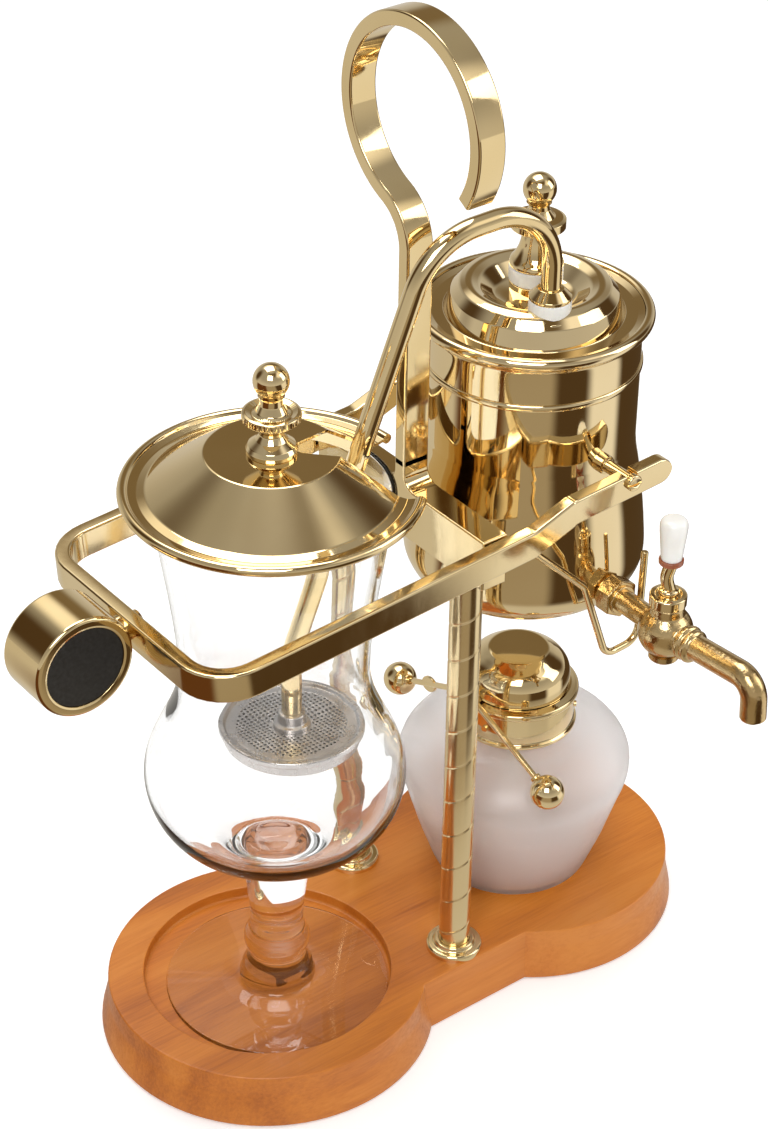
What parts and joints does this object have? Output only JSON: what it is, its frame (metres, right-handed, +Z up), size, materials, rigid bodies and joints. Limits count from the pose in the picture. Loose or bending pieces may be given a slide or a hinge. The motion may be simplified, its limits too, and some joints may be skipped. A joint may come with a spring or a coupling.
{
  "type": "balance siphon coffee maker",
  "caption": "Balance siphon coffee maker: gold boiler with tap on a counterweighted beam, siphon tube, glass vessel, spirit burner, wooden base, carry hook.",
  "frame": {"origin": "underside of the base felt, on the long centre line, midway between the glass recess and the column line", "axes": "+X along the base towards the boiler, -Y towards the tap, +Z up"},
  "size_m": [0.3098, 0.2045, 0.4287],
  "materials": {
    "gold": "polished champagne-gold plating",
    "tap_metal": "plated casting, lightly textured",
    "steel": "brushed",
    "medallion": "satin black with a thin gold ring",
    "wood": "satin lacquered, orange brown",
    "felt": "felt",
    "seal": "smooth white",
    "ferrule": "glossy brown",
    "grip": "smooth white",
    "cloth": "woven cotton",
    "clear_glass": "clear",
    "frosted_glass": "frosted",
    "spirit": "clear liquid",
    "wick": "braided cotton"
  },
  "bodies": {
    "stand": {"wood_base": "wood", "base_felt": "felt", "base_screws": "steel", "column_front": "gold", "column_rear": "gold", "column_collar_front": "gold", "column_collar_rear": "gold", "carry_handle": "gold", "pivot_pins": "steel", "glass_vessel": "clear_glass"},
    "beam": {"beam_ring": "gold", "counterweight": "gold", "medallion": "medallion", "weight_screw": "gold", "weight_spacer": "gold", "tap_cradle_wire": "gold"},
    "boiler": {"boiler_body": "gold", "boiler_lid": "gold", "tube_gasket": "seal", "tube_nut": "gold", "filler_gasket": "seal", "trunnion_front": "gold", "trunnion_rear": "gold", "tap_nut": "tap_metal", "tap_body": "tap_metal", "tap_cap": "tap_metal", "tap_bottom_nut": "tap_metal", "siphon_tube": "gold", "filter_hub": "steel", "filter_drum": "steel", "filter_plate": "steel", "filter_cloth": "cloth"},
    "filler": {"filler_knob": "gold"},
    "tap_handle": {"tap_plug": "tap_metal", "tap_ferrule": "ferrule", "tap_grip": "grip"},
    "vessel_lid": {"glass_lid": "gold", "lid_finial": "gold"},
    "burner": {"burner_bottle": "frosted_glass", "fuel": "spirit", "burner_collar": "gold", "collar_rivets": "gold", "wick_holder": "gold", "wick": "wick", "hinge_pin": "steel"},
    "snuffer": {"snuffer_dome": "gold", "snuffer_lever_front": "gold", "snuffer_lever_rear": "gold"}
  },
  "joints": [
    {"name": "beam_tilt", "type": "hinge", "parent": "stand", "child": "beam", "pos_m": [0.0055, 0, 0.23], "axis": [0, 1, 0], "range_deg": [0, 6]},
    {"name": "boiler_lift", "type": "slide", "parent": "beam", "child": "boiler", "axis": [-0.061, 0, 0.9981], "range_m": [0, 0.004]},
    {"name": "filler_turn", "type": "hinge", "parent": "boiler", "child": "filler", "pos_m": [0.067, 0.003, 0.307], "axis": [0, 0, 1], "continuous": true},
    {"name": "tap_turn", "type": "hinge", "parent": "boiler", "child": "tap_handle", "pos_m": [0.0704, -0.0795, 0.1831], "axis": [0, 0, 1], "range_deg": [0, 90]},
    {"name": "lid_lift", "type": "slide", "parent": "stand", "child": "vessel_lid", "axis": [0, 0, 1], "range_m": [0, 0.03]},
    {"name": "burner_slide", "type": "slide", "parent": "stand", "child": "burner", "axis": [1, 0, 0], "range_m": [0, 0.035]},
    {"name": "snuffer_open", "type": "hinge", "parent": "burner", "child": "snuffer", "pos_m": [0.0384, 0, 0.1176], "axis": [0, -1, 0], "range_deg": [0, 92]}
  ]
}
